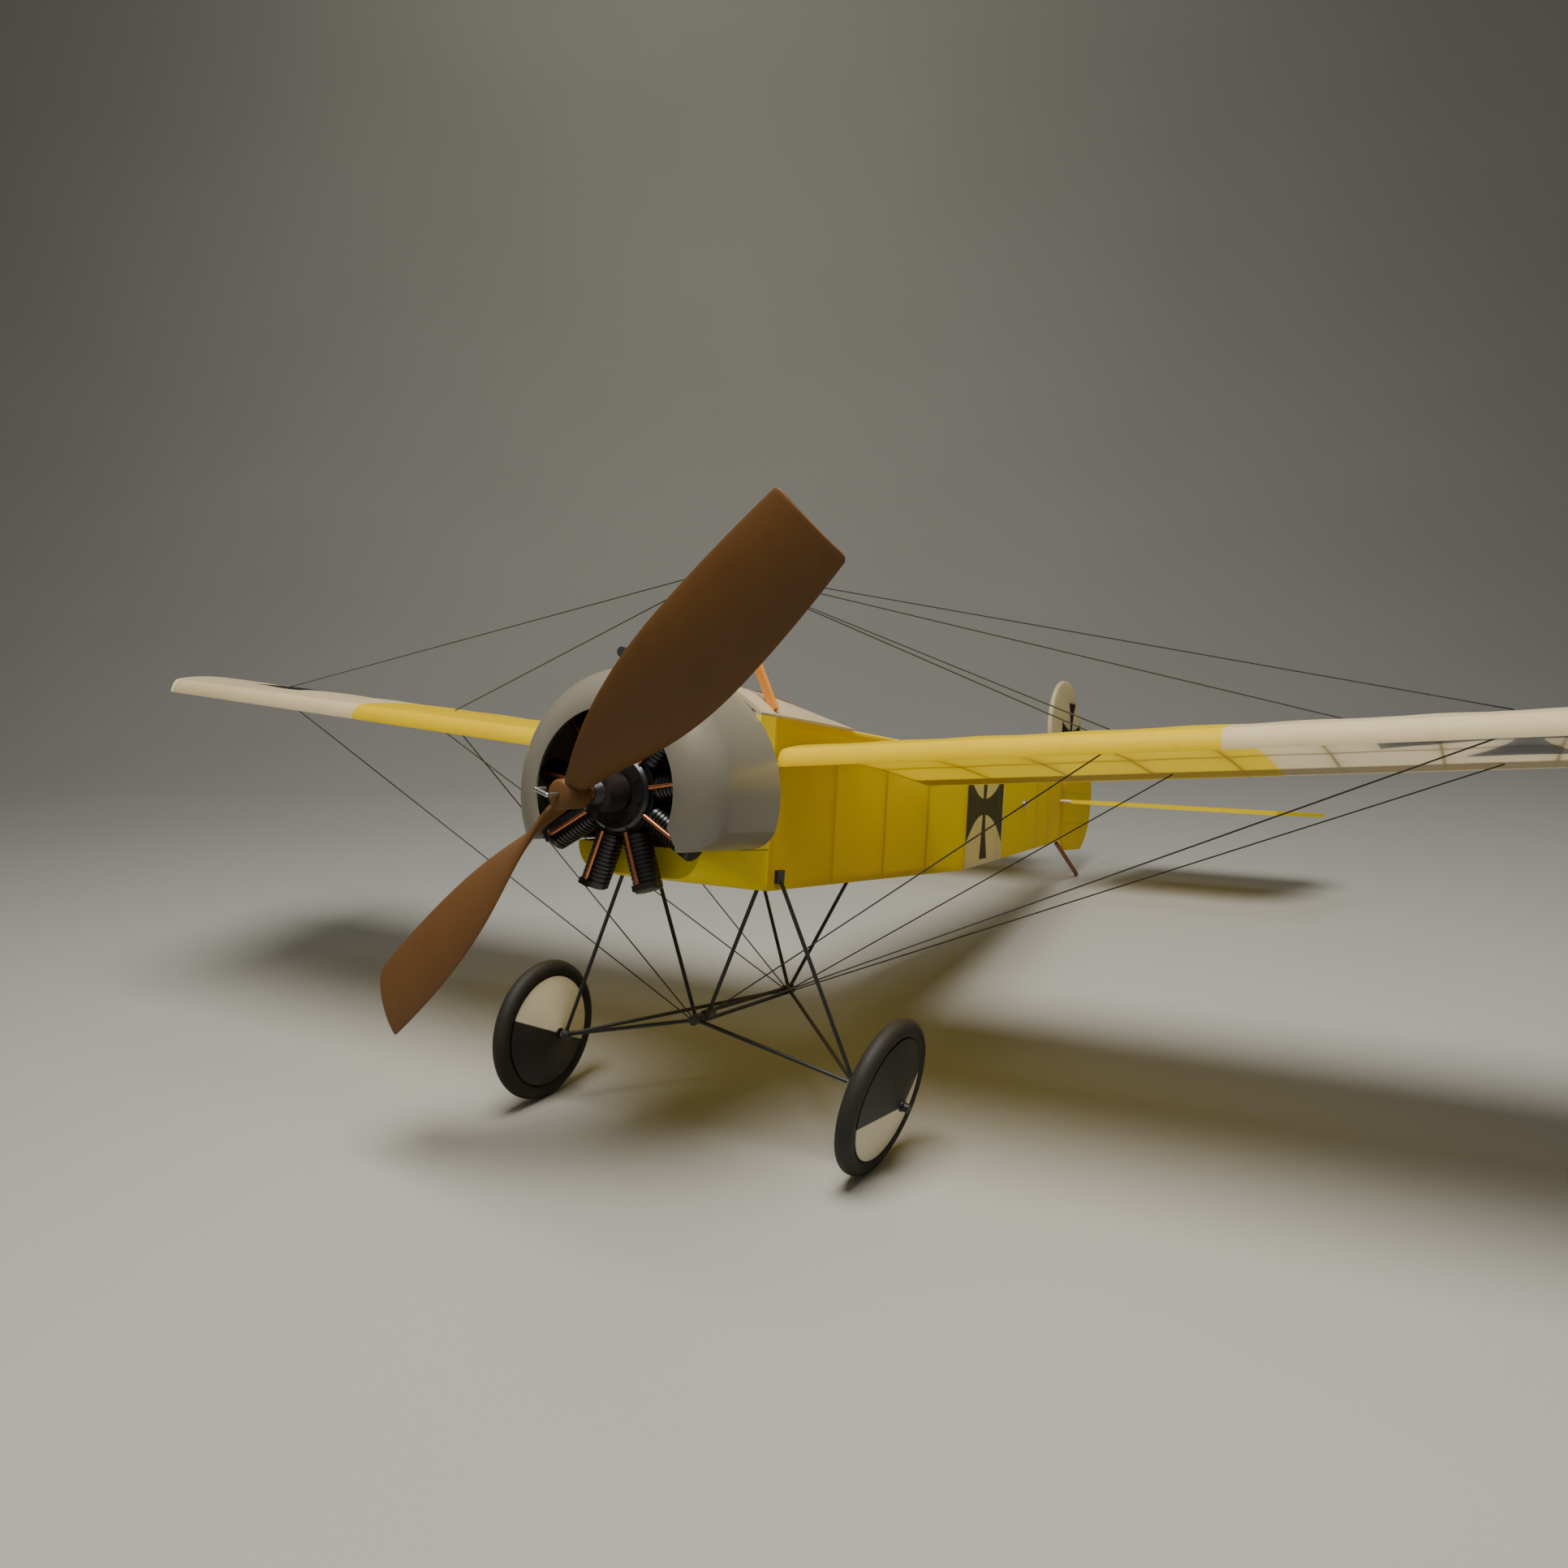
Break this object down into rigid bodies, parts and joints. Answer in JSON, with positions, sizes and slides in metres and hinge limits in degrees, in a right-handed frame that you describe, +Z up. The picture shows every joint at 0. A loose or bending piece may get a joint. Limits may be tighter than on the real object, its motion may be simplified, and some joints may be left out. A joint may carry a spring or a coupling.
{
  "type": "rubber-powered model aeroplane",
  "caption": "Stick-and-tissue rubber-powered scale monoplane with dummy rotary engine, wire undercarriage, thread rigging, spinning propeller and wheels, movable elevator and rudder.",
  "frame": {"origin": "on the floor under the middle of the overall box, model standing on its wheels and tail skid", "axes": "+X to port, -Y towards the nose, +Z up"},
  "size_m": [0.7628, 0.631, 0.2405],
  "materials": {
    "yellow_tissue": "doped tissue, satin",
    "cream_tissue": "doped tissue, satin",
    "cream_deck": "painted card, satin",
    "grey_cowl": "painted moulding, semi-gloss",
    "balsa": "raw balsa",
    "black_plastic": "gloss black moulding",
    "copper_rod": "copper-coloured wire",
    "brown_plastic": "painted moulding, matte",
    "steel_wire": "music wire",
    "brass": "turned washers",
    "rubber_strip": "tan rubber strip",
    "aluminium_tube": "drawn tube",
    "brown_leather": "stained edge",
    "stained_wood": "stained strip wood",
    "black_thread": "black thread",
    "black_wire": "black-painted wire",
    "tyre_rubber": "matte rubber",
    "disc_card": "painted card"
  },
  "bodies": {
    "airframe": {"cowl": "grey_cowl", "firewall": "balsa", "nose_block": "yellow_tissue", "nose_fairing": "yellow_tissue", "crankcase": "black_plastic", "engine_cylinders": "black_plastic", "push_rods": "copper_rod", "rubber_motor": "rubber_strip", "motor_peg": "aluminium_tube", "main_former": "balsa", "longerons": "balsa", "fuselage_spacers": "balsa", "sternpost": "balsa", "side_covering_port": "yellow_tissue", "side_covering_starboard": "yellow_tissue", "bottom_covering": "yellow_tissue", "rear_deck": "yellow_tissue", "front_deck": "cream_deck", "cockpit_rim": "brown_leather", "dummy_gun": "black_plastic", "cabane_struts": "stained_wood", "cabane_binding": "black_thread", "wing_covering_port": "yellow_tissue", "wing_covering_starboard": "yellow_tissue", "wing_ribs_port": "balsa", "wing_ribs_starboard": "balsa", "leading_edge_port": "balsa", "leading_edge_starboard": "balsa", "trailing_edge_port": "balsa", "trailing_edge_starboard": "balsa", "wing_spars_port": "balsa", "wing_spars_starboard": "balsa", "wing_tip_port": "cream_tissue", "wing_tip_starboard": "cream_tissue", "landing_wires": "black_thread", "flying_wires": "black_thread", "gear_vee_struts": "black_wire", "gear_keel": "black_wire", "gear_radius_rods": "black_wire", "gear_side_struts": "black_wire", "gear_bindings": "black_thread", "axle_stubs": "steel_wire", "wheel_retainers": "black_wire", "rudder_hinges": "steel_wire", "tail_skid": "stained_wood"},
    "nose_plug": {"nose_plug": "black_plastic"},
    "propeller": {"propeller": "brown_plastic", "prop_shaft": "steel_wire", "thrust_washers": "brass"},
    "wheel_port": {"tyre_port": "tyre_rubber", "wheel_discs_port": "disc_card", "wheel_hub_port": "aluminium_tube"},
    "wheel_starboard": {"tyre_starboard": "tyre_rubber", "wheel_discs_starboard": "disc_card", "wheel_hub_starboard": "aluminium_tube"},
    "elevator": {"elevator_spar": "balsa", "elevator_port": "yellow_tissue", "elevator_starboard": "yellow_tissue"},
    "rudder": {"rudder": "yellow_tissue"}
  },
  "joints": [
    {"name": "nose_plug_pull", "type": "slide", "parent": "airframe", "child": "nose_plug", "axis": [-0.0557, -0.9929, 0.1053], "range_m": [0, 0.02], "stiffness_N_per_m": 20, "deforming": ["rubber_motor"]},
    {"name": "propeller_spin", "type": "hinge", "parent": "nose_plug", "child": "propeller", "pos_m": [-0.00089, -0.30286, 0.14652], "axis": [-0.0557, -0.9929, 0.1053], "continuous": true, "deforming": ["rubber_motor"]},
    {"name": "wheel_port_spin", "type": "hinge", "parent": "airframe", "child": "wheel_port", "pos_m": [0.08, -0.23331, 0.02929], "axis": [0.9744, -0.035, -0.2222], "continuous": true},
    {"name": "wheel_starboard_spin", "type": "hinge", "parent": "airframe", "child": "wheel_starboard", "pos_m": [-0.08, -0.23321, 0.02992], "axis": [-0.9986, 0.0082, 0.0517], "continuous": true},
    {"name": "elevator_trim", "type": "hinge", "parent": "airframe", "child": "elevator", "pos_m": [0, 0.232, 0.06545], "axis": [1, 0, 0], "range_deg": [-15, 15]},
    {"name": "rudder_swing", "type": "hinge", "parent": "airframe", "child": "rudder", "pos_m": [0, 0.24249, 0.06136], "axis": [0, 0.1557, 0.9878], "range_deg": [-20, 20]}
  ]
}
